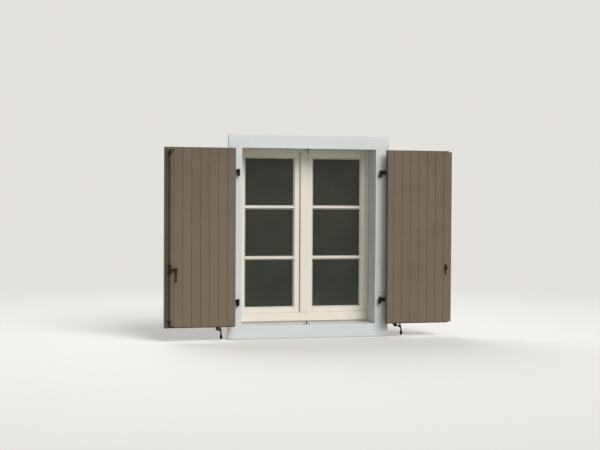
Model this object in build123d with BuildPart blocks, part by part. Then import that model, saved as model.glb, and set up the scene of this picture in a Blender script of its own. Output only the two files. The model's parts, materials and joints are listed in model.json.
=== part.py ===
"""Window with a flat masonry surround, two inward-opening sashes and a pair of board shutters.

X runs to the right seen from outside, Y into the building and Z up. The surround bears on the
wall at Y = 0, and the origin is the middle of the sill's bearing face. Both shutter leaves are
shown folded right back, with the inner face of each leaf towards the viewer.
"""

import os
from math import acos, atan2, cos, degrees, hypot, pi, sin

from build123d import *

os.makedirs("parts", exist_ok=True)

# Flat surround and the reveals behind it
opening_width = 1000
opening_height = 1276
jamb_width = 99
lintel_height = 99
sill_height = 96
surround_proud = 30
reveal_wall = 30
reveal_depth = 170
surround_arris = 3

# Fixed window frame
frame_sight_side = 19
frame_sight_top = 17
frame_sight_bottom = 74.5
frame_lip = 15
frame_rebate = 12
drip_height = 13
frame_arris = 2

# Sashes
sash_thickness = 45
sash_gap = 2
sash_set_back = 1
stile_sight = 43
top_rail_sight = 48
bottom_rail_sight = 43
meeting_sight = 74
seam_x = -28.5
seam_gap = 5
light_count = 3
bar_width = 25
glass_thickness = 4
glass_set_back = 14
glass_housing = 8
glass_play = 0.2
glass_edge_play = 1
light_bevel = 8
strip_width = 56
strip_proud = 10
strip_bevel = 5
strip_end_gap = 1.5

# Sash hinges and the window handle, on the room side
sash_hinge_inset = 190
sash_knuckle_radius = 7
sash_pin_radius = 3.5
sash_knuckle_length = 40
sash_plate_width = 30
sash_plate_thickness = 3
rose_width = 28
rose_height = 64
rose_corner = 9
rose_thickness = 9
handle_side_offset = 50
handle_neck_radius = 8
handle_neck_length = 30
handle_length = 112
handle_width = 15
handle_thickness = 11

# Shutter leaves
hinge_out = 29
hinge_proud = 24
jamb_gap = 4
meeting_gap = 3
leaf_gap_top = 3
leaf_gap_bottom = 4
left_leaf_width = 506
outer_thickness = 22
inner_thickness = 23
lip = 9
hinge_lip = 2
left_overlap = 18
right_underlap = 14
lap_clearance = 1
inner_board_count = 8
left_hinge_board = 60
left_free_board = 44
right_hinge_board = 45
right_free_board = 63
board_cover = 63
narrowest_outer_board = 20
board_joint = 0.6
board_vee = 1.5
board_arris = 1.5
tongue_length = 5
tongue_thickness = 6
groove_depth = 6
groove_play = 0.3

# Strap hinges and their pintles
upper_hinge_inset = 168
lower_hinge_inset = 180
pin_radius = 5
running_play = 0.3
strap_thickness = 3
strap_length = 370
strap_root_width = 38
strap_tip_width = 24
eye_height = 30
crank_inside = 5
pin_above_eye = 3
collar_height = 4
shank_size = 12
shank_embed = 25

# Espagnolette on the left leaf, its catch on the right leaf and the keepers
rod_radius = 7
rod_inset = 15.5
rod_standoff = 13
hook_reach = 30
hook_width = 8
hook_thickness = 6
hook_nib = 6
hook_nib_length = 4.5
hook_below_soffit = 26
hook_above_sill = 19.5
rod_past_hook = 4
guide_wall = 3.2
guide_height = 14
guide_foot_width = 30
guide_foot_thickness = 3
end_guide_inset = 48
handle_above_sill = 417
boss_radius = 10.5
boss_height = 34
arm_length = 46
arm_cheek = 3.2
arm_height = 14
arm_eye_radius = 9
arm_slot_relief = 1
rivet_radius = 3
rivet_head_radius = 5.5
rivet_head_height = 2
forged_sides = 12
drop_thickness = 6
drop_length = 84
drop_root_width = 11
drop_tip_width = 7
drop_knob_radius = 6.5
drop_knob_length = 15
drop_knob_ease = 3
catch_from_rod = 66
catch_width = 18
catch_height = 38
catch_plate = 3
catch_reach = 26
catch_bar = 4
catch_tip_height = 5.5
catch_stem_width = 8
catch_stem_length = 30
catch_foot = 11
catch_foot_thickness = 6
keeper_pin_radius = 4
keeper_along_hook = 17.5
keeper_past_hook = 5
keeper_plate_length = 40
keeper_plate_width = 20
keeper_plate_thickness = 3

# Gravity hold-backs under the open leaves
holdback_in = 107
holdback_shank_radius = 6
holdback_tail = 50
wall_rose_radius = 14
wall_rose_height = 4
pivot_drop = 20
pivot_from_lip = 4
pivot_radius = 3
cheek_radius = 7
cheek_thickness = 4
blade_thickness = 8
blade_play = 0.3
fork_depth = 26
blade_radius = 7.5
nose_play = 0.4
nose_front = 6
nose_back = 9
nose_slope = 8
pear_forward = 27
pear_top = 36
pear_length = 43
pear_foot = 10
pear_belly = 14
pear_radius = 11
pear_foot_radius = 6
pear_neck_radius = 3.5

# Places that follow from the sizes
half_opening = opening_width / 2
surround_outside = half_opening + jamb_width
front = -surround_proud
opening_bottom = sill_height / 2
opening_top = opening_bottom + opening_height
frame_front = front + reveal_depth
rebate_face = frame_front + frame_lip
sash_front = rebate_face + sash_set_back
sash_back = sash_front + sash_thickness
frame_outside = half_opening + reveal_wall
frame_sight_x = half_opening - frame_sight_side
rebate_x = frame_sight_x + frame_rebate
frame_sight_low = opening_bottom + frame_sight_bottom
frame_sight_high = opening_top - frame_sight_top
sash_low = frame_sight_low - frame_rebate + sash_gap
sash_high = frame_sight_high + frame_rebate - sash_gap
glass_x = frame_sight_x - stile_sight
glass_low = frame_sight_low + bottom_rail_sight
glass_high = frame_sight_high - top_rail_sight
glass_front = sash_front + glass_set_back
light_height = (glass_high - glass_low - (light_count - 1) * bar_width) / light_count
sash_axis_x = rebate_x - sash_gap / 2
sash_axis_y = sash_back + sash_knuckle_radius

hinge_x = half_opening + hinge_out
hinge_y = front - hinge_proud
leaf_edge = hinge_x + hinge_out + jamb_gap
leaf_outer_face = hinge_y - hinge_proud
leaf_joint = leaf_outer_face - outer_thickness
leaf_inner_face = leaf_joint - inner_thickness
leaf_low = opening_bottom + leaf_gap_bottom
leaf_high = opening_top - leaf_gap_top
right_leaf_width = opening_width - 2 * jamb_gap - meeting_gap - left_leaf_width
left_inner_end = left_leaf_width - left_overlap
right_inner_end = right_leaf_width + right_underlap
eye_radius = pin_radius + running_play + strap_thickness
upper_hinge_z = opening_top - upper_hinge_inset
lower_hinge_z = opening_bottom + lower_hinge_inset

rod_x = -(leaf_edge + left_inner_end - rod_inset)
rod_y = leaf_inner_face - rod_standoff
rod_closed_x = -2 * hinge_x - rod_x
rod_closed_y = 2 * hinge_y - rod_y
top_hook_z = opening_top - hook_below_soffit
bottom_hook_z = opening_bottom + hook_above_sill
handle_z = opening_bottom + handle_above_sill
drop_x = rod_x + arm_length
arm_slot = drop_thickness / 2 + running_play
arm_half = arm_slot + arm_cheek
pivot_y = leaf_joint - pivot_from_lip
pivot_z = leaf_low - pivot_drop


def save(part, name):
    """Label a finished piece and write it."""
    part.label = name
    export_step(part, f"parts/{name}.step")


def block(x_span, y_span, z_span, mode=Mode.ADD):
    """A box between two values on each axis, for the part that is being built."""
    (x0, x1), (y0, y1), (z0, z1) = (sorted(span) for span in (x_span, y_span, z_span))
    with BuildSketch(Plane.XY.offset(z0)) as plan:
        with Locations(((x0 + x1) / 2, (y0 + y1) / 2)):
            Rectangle(x1 - x0, y1 - y0)
    extrude(plan.sketch, amount=z1 - z0, mode=mode)


def upright(points, z_span, mode=Mode.ADD):
    """A plan outline carried straight up between two heights."""
    with BuildSketch(Plane.XY.offset(z_span[0])) as plan:
        with BuildLine():
            Polyline(*points, close=True)
        make_face()
    extrude(plan.sketch, amount=z_span[1] - z_span[0], mode=mode)


def disc(x, y, radius, z_span, mode=Mode.ADD):
    """A round bar along Z."""
    with BuildSketch(Plane.XY.offset(z_span[0])) as plan:
        with Locations((x, y)):
            Circle(radius)
    extrude(plan.sketch, amount=z_span[1] - z_span[0], mode=mode)


def facing(y):
    """The upright plane at y, with X to the right and Z up, which extrudes towards the viewer."""
    return Plane.XZ.offset(-y)


# Surround: lintel, sill and two jambs, each an L in section that carries the reveal
pintle_heights = (lower_hinge_z, upper_hinge_z)
arris_angle = 45


def shank_z(hinge_z):
    """Height span of the square shank below the eye at this hinge."""
    top = hinge_z - eye_height / 2 - running_play - collar_height
    return top - shank_size, top


def ease_opening():
    """Take the arris off the opening's rim, in the member that is being built."""
    with BuildSketch(facing(front + surround_arris)) as rim:
        with Locations((0, (opening_bottom + opening_top) / 2)):
            Rectangle(opening_width, opening_height)
    extrude(rim.sketch, amount=surround_arris, taper=-arris_angle, mode=Mode.SUBTRACT)


def surround_jamb(side):
    with BuildPart() as jamb:
        block(
            (side * half_opening, side * surround_outside),
            (front, 0),
            (opening_bottom, opening_top),
        )
        front_arrises = jamb.edges().filter_by(Axis.Z).filter_by_position(Axis.Y, front, front)
        chamfer(front_arrises.sort_by(Axis.X)[-1 if side > 0 else 0], surround_arris)
        ease_opening()
        block(
            (side * half_opening, side * frame_outside),
            (0, frame_front),
            (opening_bottom, opening_top),
        )
        for hinge_z in pintle_heights:
            half = shank_size / 2
            block(
                (side * hinge_x - half, side * hinge_x + half),
                (front, front + shank_embed),
                shank_z(hinge_z),
                Mode.SUBTRACT,
            )
    return jamb.part


save(surround_jamb(-1), "surround_jamb_left")
save(surround_jamb(1), "surround_jamb_right")

with BuildPart() as lintel:
    block(
        (-surround_outside, surround_outside),
        (front, 0),
        (opening_top, opening_top + lintel_height),
    )
    lintel_front = lintel.edges().filter_by_position(Axis.Y, front, front)
    chamfer(lintel_front.sort_by(Axis.Z)[1:], surround_arris)
    ease_opening()
    block(
        (-frame_outside, frame_outside),
        (0, frame_front),
        (opening_top, opening_top + reveal_wall),
    )
save(lintel.part, "surround_lintel")

with BuildPart() as sill:
    block(
        (-surround_outside, surround_outside),
        (front, 0),
        (opening_bottom - sill_height, opening_bottom),
    )
    sill_front = sill.edges().filter_by_position(Axis.Y, front, front)
    chamfer(sill_front.sort_by(Axis.Z)[:-1], surround_arris)
    ease_opening()
    block(
        (-frame_outside, frame_outside),
        (0, sash_back),
        (opening_bottom - reveal_wall, opening_bottom),
    )
save(sill.part, "surround_sill")


# Fixed window frame: the lip in front covers the edge of the sashes
def frame_jamb(side):
    heights = (opening_bottom, opening_top + reveal_wall)
    with BuildPart() as jamb:
        block((side * frame_sight_x, side * frame_outside), (frame_front, rebate_face), heights)
        sight_edge = jamb.edges().filter_by(Axis.Z).filter_by_position(
            Axis.Y, frame_front, frame_front
        )
        chamfer(sight_edge.sort_by(Axis.X)[0 if side > 0 else -1], frame_arris)
        block((side * rebate_x, side * frame_outside), (rebate_face, sash_back), heights)
    return jamb.part


save(frame_jamb(-1), "frame_jamb_left")
save(frame_jamb(1), "frame_jamb_right")

with BuildPart() as frame_head:
    block(
        (-frame_sight_x, frame_sight_x),
        (frame_front, rebate_face),
        (frame_sight_high, opening_top + reveal_wall),
    )
    block(
        (-rebate_x, rebate_x),
        (rebate_face, sash_back),
        (frame_sight_high + frame_rebate, opening_top + reveal_wall),
    )
save(frame_head.part, "frame_head")

with BuildPart() as frame_sill:
    block(
        (-frame_sight_x, frame_sight_x),
        (frame_front, rebate_face),
        (opening_bottom + drip_height, frame_sight_low),
    )
    frame_sill_top = frame_sill.edges().filter_by(Axis.X).filter_by_position(
        Axis.Y, frame_front, frame_front
    )
    chamfer(frame_sill_top, frame_arris)
    block(
        (-rebate_x, rebate_x),
        (rebate_face, sash_back),
        (opening_bottom, frame_sight_low - frame_rebate),
    )
save(frame_sill.part, "frame_sill")


# Sashes: stiles, rails and bars share one bevelled and grooved line round each light
bevel_angle = degrees(atan2(light_bevel, glass_set_back))


def light_middle_z(index):
    return glass_low + light_height / 2 + index * (light_height + bar_width)


def cut_lights(side):
    """Open the lights of one sash: bevel in front, groove for the glass, straight behind."""
    width = glass_x - meeting_sight
    middle_x = side * (glass_x + meeting_sight) / 2
    groove_front = glass_front - glass_play
    groove_back = glass_front + glass_thickness + glass_play
    for index in range(light_count):
        middle = (middle_x, light_middle_z(index))
        with BuildSketch(facing(glass_front)) as sight:
            with Locations(middle):
                Rectangle(width, light_height)
        extrude(sight.sketch, amount=glass_set_back, taper=-bevel_angle, mode=Mode.SUBTRACT)
        extrude(sight.sketch, amount=glass_front - sash_back, mode=Mode.SUBTRACT)
        with BuildSketch(facing(groove_back)) as groove:
            with Locations(middle):
                Rectangle(width + 2 * glass_housing, light_height + 2 * glass_housing)
        extrude(groove.sketch, amount=groove_back - groove_front, mode=Mode.SUBTRACT)


def sash_outline(side):
    """X of the hinge edge, the two glass edges and the meeting edge of one sash."""
    hinge_edge = side * (rebate_x - sash_gap)
    meeting_edge = seam_x + side * seam_gap / 2
    return hinge_edge, side * glass_x, side * meeting_sight, meeting_edge


def sash_member(side, x_span, z_span):
    with BuildPart() as member:
        block(x_span, (sash_front, sash_back), z_span)
        cut_lights(side)
    return member.part


def sash_bars(side):
    _, glass_hinge, glass_meeting, _ = sash_outline(side)
    with BuildPart() as bars:
        for index in range(light_count - 1):
            low = light_middle_z(index) + light_height / 2
            block((glass_hinge, glass_meeting), (sash_front, sash_back), (low, low + bar_width))
        cut_lights(side)
    return bars.part


def sash_panes(side):
    housed = 2 * (glass_housing - glass_edge_play)
    with BuildPart() as panes:
        with BuildSketch(facing(glass_front + glass_thickness)) as faces:
            for index in range(light_count):
                with Locations((side * (glass_x + meeting_sight) / 2, light_middle_z(index))):
                    Rectangle(glass_x - meeting_sight + housed, light_height + housed)
        extrude(faces.sketch, amount=glass_thickness)
    return panes.part


for side, hand in ((-1, "left"), (1, "right")):
    hinge_edge, glass_hinge, glass_meeting, meeting_edge = sash_outline(side)
    full_height = (sash_low, sash_high)
    between = (glass_hinge, glass_meeting)
    save(sash_member(side, (hinge_edge, glass_hinge), full_height), f"{hand}_sash_hinge_stile")
    save(sash_member(side, (glass_meeting, meeting_edge), full_height), f"{hand}_sash_meeting_stile")
    save(sash_member(side, between, (glass_high, sash_high)), f"{hand}_sash_top_rail")
    save(sash_member(side, between, (sash_low, glass_low)), f"{hand}_sash_bottom_rail")
    save(sash_bars(side), f"{hand}_sash_bars")
    save(sash_panes(side), f"{hand}_sash_panes")

# Raised cover strip on the outer face of the right sash
strip_left = seam_x + seam_gap / 2
strip_right = strip_left + strip_width
strip_front = sash_front - strip_proud
with BuildPart() as cover_strip:
    upright(
        [
            (strip_left, sash_front),
            (strip_left, strip_front + strip_bevel),
            (strip_left + strip_bevel, strip_front),
            (strip_right - strip_bevel, strip_front),
            (strip_right, strip_front + strip_bevel),
            (strip_right, sash_front),
        ],
        (frame_sight_low + strip_end_gap, frame_sight_high - strip_end_gap),
    )
save(cover_strip.part, "cover_strip")

# Sash hinges: a pin on the frame below, a knuckle on the sash above
sash_hinge_heights = (sash_low + sash_hinge_inset, sash_high - sash_hinge_inset)


def plate_x(side, towards_sash):
    """Span of one hinge plate beside the joint between frame and sash."""
    start = side * (sash_axis_x + (-1 if towards_sash else 1) * sash_gap / 2)
    step = -side if towards_sash else side
    return start, start + step * sash_plate_width


with BuildPart() as frame_hinge_pins:
    for side in (-1, 1):
        for middle in sash_hinge_heights:
            below = (middle - sash_knuckle_length, middle - running_play / 2)
            disc(side * sash_axis_x, sash_axis_y, sash_knuckle_radius, below)
            pin_top = middle + sash_knuckle_length
            disc(side * sash_axis_x, sash_axis_y, sash_pin_radius, (below[1], pin_top))
            block(plate_x(side, False), (sash_back, sash_back + sash_plate_thickness), below)
            block(
                (side * sash_axis_x, plate_x(side, False)[0] + side * sash_plate_thickness),
                (sash_back, sash_back + sash_plate_thickness),
                below,
            )
save(frame_hinge_pins.part, "frame_hinge_pins")


def sash_hinges(side):
    with BuildPart() as knuckles:
        for middle in sash_hinge_heights:
            above = (middle + running_play / 2, middle + sash_knuckle_length)
            disc(side * sash_axis_x, sash_axis_y, sash_knuckle_radius, above)
            block(plate_x(side, True), (sash_back, sash_back + sash_plate_thickness), above)
            block(
                (side * sash_axis_x, plate_x(side, True)[0]),
                (sash_back, sash_back + sash_plate_thickness),
                above,
            )
            bore = sash_pin_radius + running_play
            disc(side * sash_axis_x, sash_axis_y, bore, above, Mode.SUBTRACT)
    return knuckles.part


save(sash_hinges(-1), "left_sash_hinges")
save(sash_hinges(1), "right_sash_hinges")

# Window handle on the wide meeting stile of the right sash
handle_x = strip_left + handle_side_offset
window_handle_z = (sash_low + sash_high) / 2
with BuildPart() as handle_rose:
    with BuildSketch(facing(sash_back)) as rose_face:
        with Locations((handle_x, window_handle_z)):
            RectangleRounded(rose_width, rose_height, rose_corner)
    extrude(rose_face.sketch, amount=-rose_thickness)
save(handle_rose.part, "window_handle_rose")

neck_start = sash_back + rose_thickness + running_play
lever_start = neck_start + handle_neck_length
with BuildPart() as window_handle:
    with BuildSketch(facing(neck_start)) as neck_face:
        with Locations((handle_x, window_handle_z)):
            Circle(handle_neck_radius)
    extrude(neck_face.sketch, amount=-handle_neck_length)
    with BuildSketch(facing(lever_start)) as lever_face:
        with Locations((handle_x, window_handle_z - handle_length / 2)):
            SlotOverall(handle_length + handle_width, handle_width, rotation=90)
    extrude(lever_face.sketch, amount=-handle_thickness)
save(window_handle.part, "window_handle")


# Leaves: outer and inner skins of upright boards, joints staggered
def leaf_x(side, across):
    """X of a place measured across an open leaf from its hinge edge."""
    return side * (leaf_edge + across)


def inner_board(side, start, end, first, last):
    """One tongued and grooved board of the inner skin, with a vee at each joint."""
    middle = (leaf_joint + leaf_inner_face) / 2
    edge = end if last else end - board_joint
    left_cut = board_arris if first else board_vee
    right_cut = board_arris if last else board_vee
    tongue = tongue_thickness / 2
    slot = tongue + groove_play
    outline = [(start, leaf_joint), (edge, leaf_joint)]
    if not last:
        tip = edge + tongue_length
        outline += [(edge, middle + tongue), (tip, middle + tongue)]
        outline += [(tip, middle - tongue), (edge, middle - tongue)]
    outline += [(edge, leaf_inner_face + right_cut), (edge - right_cut, leaf_inner_face)]
    outline += [(start + left_cut, leaf_inner_face), (start, leaf_inner_face + left_cut)]
    if not first:
        root = start + groove_depth
        outline += [(start, middle - slot), (root, middle - slot)]
        outline += [(root, middle + slot), (start, middle + slot)]
    with BuildPart() as board:
        upright([(leaf_x(side, u), y) for u, y in outline], (leaf_low + lip, leaf_high - lip))
    return board.part


def inner_board_edges(inner_end, hinge_board, free_board):
    """Places of the inner joints: the boards between the two end ones share what is left."""
    full_boards = inner_board_count - 2
    cover = (inner_end - hinge_lip - hinge_board - free_board) / full_boards
    joints = [hinge_lip + hinge_board + index * cover for index in range(full_boards + 1)]
    return [hinge_lip] + joints + [inner_end]


def outer_boards(side, width):
    """The outer skin: full boards between two cut ones, set half a board off the inner joints."""
    full_boards = int((width - 2 * narrowest_outer_board) // board_cover)
    end_board = (width - full_boards * board_cover) / 2
    joints = [0] + [end_board + index * board_cover for index in range(full_boards + 1)] + [width]
    with BuildPart() as skin:
        for start, end in zip(joints, joints[1:]):
            edge = end if end == width else end - board_joint
            outline = [
                (start, leaf_joint),
                (edge, leaf_joint),
                (edge, leaf_outer_face - board_vee),
                (edge - board_vee, leaf_outer_face),
                (start + board_vee, leaf_outer_face),
                (start, leaf_outer_face - board_vee),
            ]
            upright([(leaf_x(side, u), y) for u, y in outline], (leaf_low, leaf_high))
        if side < 0:
            block(
                (leaf_x(side, left_inner_end), leaf_x(side, width)),
                (leaf_joint, leaf_joint + lap_clearance),
                (leaf_low, leaf_high),
                Mode.SUBTRACT,
            )
    return skin.part


leaves = (
    (-1, "left", left_leaf_width, left_inner_end, left_hinge_board, left_free_board),
    (1, "right", right_leaf_width, right_inner_end, right_hinge_board, right_free_board),
)
for side, hand, width, inner_end, hinge_board, free_board in leaves:
    save(outer_boards(side, width), f"{hand}_outer_boards")
    places = inner_board_edges(inner_end, hinge_board, free_board)
    for index, (start, end) in enumerate(zip(places, places[1:])):
        board = inner_board(side, start, end, index == 0, index == inner_board_count - 1)
        save(board, f"{hand}_board_{index + 1}")


# Strap hinges: a long flat strap, cranked out from the leaf to an eye round the pintle
def strap(side, middle):
    leaf_offset = leaf_edge - hinge_x
    bend = leaf_offset + crank_inside
    strap_line = -hinge_proud + strap_thickness / 2
    wrap = eye_radius - strap_thickness / 2
    reach = hypot(bend, strap_line)
    tangent = atan2(strap_line, bend) + acos(wrap / reach)
    touch = (wrap * cos(tangent), wrap * sin(tangent))
    run = hypot(bend - touch[0], strap_line - touch[1])
    off_x = (strap_line - touch[1]) / run * strap_thickness / 2
    off_y = (bend - touch[0]) / run * strap_thickness / 2
    tip = leaf_offset + strap_length

    def place(along, out):
        return side * (hinge_x + along), hinge_y + out

    heights = (middle - eye_height / 2, middle + eye_height / 2)
    blank = (middle - strap_root_width / 2, middle + strap_root_width / 2)
    with BuildPart() as hinge:
        upright(
            [
                place(touch[0] + off_x, touch[1] - off_y),
                place(bend + off_x, -hinge_proud),
                place(tip, -hinge_proud),
                place(tip, -hinge_proud + strap_thickness),
                place(bend - off_x, -hinge_proud + strap_thickness),
                place(touch[0] - off_x, touch[1] + off_y),
            ],
            blank,
        )
        disc(side * hinge_x, hinge_y, eye_radius, heights)
        disc(side * hinge_x, hinge_y, pin_radius + running_play, heights, Mode.SUBTRACT)
        with BuildSketch(facing(hinge_y)) as elevation:
            with BuildLine():
                root_x = side * (hinge_x + leaf_offset)
                start_x = side * (hinge_x - eye_radius)
                round_x = side * (hinge_x + tip - strap_tip_width / 2)
                root_half = strap_root_width / 2
                tip_half = strap_tip_width / 2
                Polyline(
                    (round_x, middle + tip_half),
                    (root_x, middle + root_half),
                    (root_x, heights[1]),
                    (start_x, heights[1]),
                    (start_x, heights[0]),
                    (root_x, heights[0]),
                    (root_x, middle - root_half),
                    (round_x, middle - tip_half),
                )
                ThreePointArc(
                    (round_x, middle - tip_half),
                    (side * (hinge_x + tip), middle),
                    (round_x, middle + tip_half),
                )
            make_face()
        extrude(elevation.sketch, amount=2 * hinge_proud, both=True, mode=Mode.INTERSECT)
    return hinge.part


# Pintles: a pin on a round barrel, with a square shank let into the surround
def pintles(side):
    half = shank_size / 2
    with BuildPart() as forgings:
        for middle in pintle_heights:
            low, high = shank_z(middle)
            block(
                (side * hinge_x - half, side * hinge_x + half),
                (hinge_y, front + shank_embed),
                (low, high),
            )
            disc(side * hinge_x, hinge_y, eye_radius, (low, high + collar_height))
            pin_top = middle + eye_height / 2 + pin_above_eye
            disc(side * hinge_x, hinge_y, pin_radius, (high + collar_height, pin_top))
    return forgings.part


for side, hand in ((-1, "left"), (1, "right")):
    save(pintles(side), f"{hand}_pintles")
    for middle, level in ((upper_hinge_z, "top"), (lower_hinge_z, "bottom")):
        save(strap(side, middle), f"{hand}_strap_{level}")


# Espagnolette: one forged rod with a hook at each end and an arm for the handle
def hook(z):
    """A flat hook towards the hinge, its nib turned away from the leaf."""
    half = hook_width / 2
    tip = rod_x + hook_reach
    upright(
        [
            (rod_x, rod_y + half),
            (tip, rod_y + half),
            (tip, rod_y - half - hook_nib),
            (tip - hook_nib_length, rod_y - half - hook_nib),
            (tip - hook_nib_length, rod_y - half),
            (rod_x, rod_y - half),
        ],
        (z - hook_thickness / 2, z + hook_thickness / 2),
    )


with BuildPart() as espagnolette_rod:
    disc(rod_x, rod_y, rod_radius, (bottom_hook_z - rod_past_hook, top_hook_z + rod_past_hook))
    hook(top_hook_z)
    hook(bottom_hook_z)
    disc(rod_x, rod_y, boss_radius, (handle_z - boss_height / 2, handle_z + boss_height / 2))
    block(
        (rod_x, drop_x),
        (rod_y - arm_half, rod_y + arm_half),
        (handle_z - arm_height / 2, handle_z + arm_height / 2),
    )
    with BuildSketch(facing(rod_y)) as arm_eye:
        with Locations((drop_x, handle_z)):
            Circle(arm_eye_radius)
    extrude(arm_eye.sketch, amount=arm_half, both=True)
    block(
        (drop_x - arm_eye_radius - arm_slot_relief, drop_x + arm_eye_radius),
        (rod_y - arm_slot, rod_y + arm_slot),
        (handle_z - arm_eye_radius, handle_z + arm_eye_radius),
        Mode.SUBTRACT,
    )
    with BuildSketch(facing(rod_y)) as rivet:
        with Locations((drop_x, handle_z)):
            Circle(rivet_radius)
    extrude(rivet.sketch, amount=arm_slot, both=True)
    for cheek_face, outwards in ((rod_y - arm_half, 1), (rod_y + arm_half, -1)):
        with BuildSketch(facing(cheek_face)) as rivet_head:
            with Locations((drop_x, handle_z)):
                Circle(rivet_head_radius)
        extrude(rivet_head.sketch, amount=outwards * rivet_head_height)
save(espagnolette_rod.part, "espagnolette_rod")


def forged_drop(place, span, radius, foot, neck):
    """An upright drop hammered to even flats, drawn down to a (radius, length) at each end."""
    with BuildPart(mode=Mode.PRIVATE) as drop:
        with BuildSketch(Plane.XY.offset(span[0])) as blank:
            with Locations(place):
                RegularPolygon(radius, forged_sides)
        extrude(blank.sketch, amount=span[1] - span[0])
        for which, (end_radius, length) in ((0, foot), (-1, neck)):
            end_face = drop.faces().sort_by(Axis.Z)[which]
            drawn_in = (radius - end_radius) * cos(pi / forged_sides)
            chamfer(end_face.edges(), drawn_in, length, reference=end_face)
    add(drop.part)


with BuildPart() as drop_handle:
    with BuildSketch(facing(rod_y)) as drop_face:
        with Locations((drop_x, handle_z)):
            Circle(arm_eye_radius)
        with BuildLine():
            Polyline(
                (drop_x - drop_root_width / 2, handle_z),
                (drop_x + drop_root_width / 2, handle_z),
                (drop_x + drop_tip_width / 2, handle_z - drop_length + drop_knob_ease),
                (drop_x - drop_tip_width / 2, handle_z - drop_length + drop_knob_ease),
                close=True,
            )
        make_face()
        with Locations((drop_x, handle_z)):
            Circle(rivet_radius + running_play, mode=Mode.SUBTRACT)
    extrude(drop_face.sketch, amount=drop_thickness / 2, both=True)
    knob_low = handle_z - drop_length
    knob_end = (drop_knob_radius - drop_knob_ease, drop_knob_ease)
    knob_span = (knob_low, knob_low + drop_knob_length)
    forged_drop((drop_x, rod_y), knob_span, drop_knob_radius, knob_end, knob_end)
save(drop_handle.part, "drop_handle")


# Guides that hold the rod to the free board of the left leaf
def rod_guide(z):
    outer = rod_radius + running_play + guide_wall
    heights = (z - guide_height / 2, z + guide_height / 2)
    half_foot = guide_foot_width / 2
    disc(rod_x, rod_y, outer, heights)
    block((rod_x - outer, rod_x + outer), (rod_y, leaf_inner_face), heights)
    block(
        (rod_x - half_foot, rod_x + half_foot),
        (leaf_inner_face - guide_foot_thickness, leaf_inner_face),
        heights,
    )
    disc(rod_x, rod_y, rod_radius + running_play, heights, Mode.SUBTRACT)


boss_to_guide = boss_height / 2 + running_play + guide_height / 2
with BuildPart() as rod_guides:
    rod_guide(leaf_high - end_guide_inset)
    rod_guide(handle_z + boss_to_guide)
    rod_guide(handle_z - boss_to_guide)
    rod_guide(leaf_low + end_guide_inset)
save(rod_guides.part, "rod_guides")

# Catch on the right leaf: the raised handle drops into its cradle when the leaves are shut
catch_x = 2 * hinge_x - (rod_closed_x + catch_from_rod)
cradle_top = handle_z - drop_root_width / 2 - running_play
catch_span = (catch_x - catch_width / 2, catch_x + catch_width / 2)
plate_face = leaf_inner_face - catch_plate
cradle_end = leaf_inner_face - catch_reach
stem_low = handle_z - catch_height / 2 - catch_stem_length
with BuildPart() as catch:
    block(
        catch_span,
        (plate_face, leaf_inner_face),
        (handle_z - catch_height / 2, handle_z + catch_height / 2),
    )
    block(catch_span, (cradle_end, plate_face), (cradle_top - catch_bar, cradle_top))
    block(
        catch_span,
        (cradle_end, cradle_end + catch_bar),
        (cradle_top, cradle_top + catch_tip_height),
    )
    block(
        (catch_x - catch_stem_width / 2, catch_x + catch_stem_width / 2),
        (plate_face, leaf_inner_face),
        (stem_low, handle_z - catch_height / 2),
    )
    with BuildSketch(facing(leaf_inner_face)) as catch_end:
        with Locations((catch_x, stem_low)):
            Circle(catch_foot / 2)
    extrude(catch_end.sketch, amount=catch_foot_thickness)
save(catch.part, "handle_catch")

# Keepers on the soffit and the sill, just behind the shut leaves
keeper_x = rod_closed_x + keeper_along_hook
keeper_y = rod_closed_y - hook_width / 2 - running_play - keeper_pin_radius
keeper_plate_y = (keeper_y - keeper_pin_radius, keeper_y - keeper_pin_radius + keeper_plate_width)
keeper_plate_x = (keeper_x - keeper_plate_length / 2, keeper_x + keeper_plate_length / 2)
with BuildPart() as keepers:
    top_plate = (opening_top - keeper_plate_thickness, opening_top)
    block(keeper_plate_x, keeper_plate_y, top_plate)
    disc(keeper_x, keeper_y, keeper_pin_radius, (top_hook_z - keeper_past_hook, top_plate[0]))
    bottom_plate = (opening_bottom, opening_bottom + keeper_plate_thickness)
    block(keeper_plate_x, keeper_plate_y, bottom_plate)
    disc(
        keeper_x, keeper_y, keeper_pin_radius, (bottom_plate[1], bottom_hook_z + keeper_past_hook)
    )
save(keepers.part, "hook_keepers")


# Hold-backs: a shank out of the wall with a fork, and a weighted lever riding in it
def holdback_bracket(side):
    x = leaf_x(side, holdback_in)
    slot = blade_thickness / 2 + blade_play
    outer = slot + cheek_thickness
    fork_back = pivot_y + fork_depth
    with BuildPart() as bracket:
        with BuildSketch(facing(holdback_tail)) as bar:
            with Locations((x, pivot_z)):
                Circle(holdback_shank_radius)
        extrude(bar.sketch, amount=holdback_tail - fork_back)
        with BuildSketch(facing(0)) as rose:
            with Locations((x, pivot_z)):
                Circle(wall_rose_radius)
        extrude(rose.sketch, amount=wall_rose_height)
        with BuildSketch(Plane.YZ.offset(x - outer)) as cheek:
            with Locations((pivot_y, pivot_z)):
                Circle(cheek_radius)
            with Locations((pivot_y + fork_depth / 2, pivot_z)):
                Rectangle(fork_depth, 2 * holdback_shank_radius)
        extrude(cheek.sketch, amount=2 * outer)
        block(
            (x - slot, x + slot),
            (pivot_y - cheek_radius, fork_back - cheek_thickness),
            (pivot_z - cheek_radius, pivot_z + cheek_radius),
            Mode.SUBTRACT,
        )
        with BuildSketch(Plane.YZ.offset(x - outer)) as pin:
            with Locations((pivot_y, pivot_z)):
                Circle(pivot_radius)
        extrude(pin.sketch, amount=2 * outer)
    return bracket.part


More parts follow.
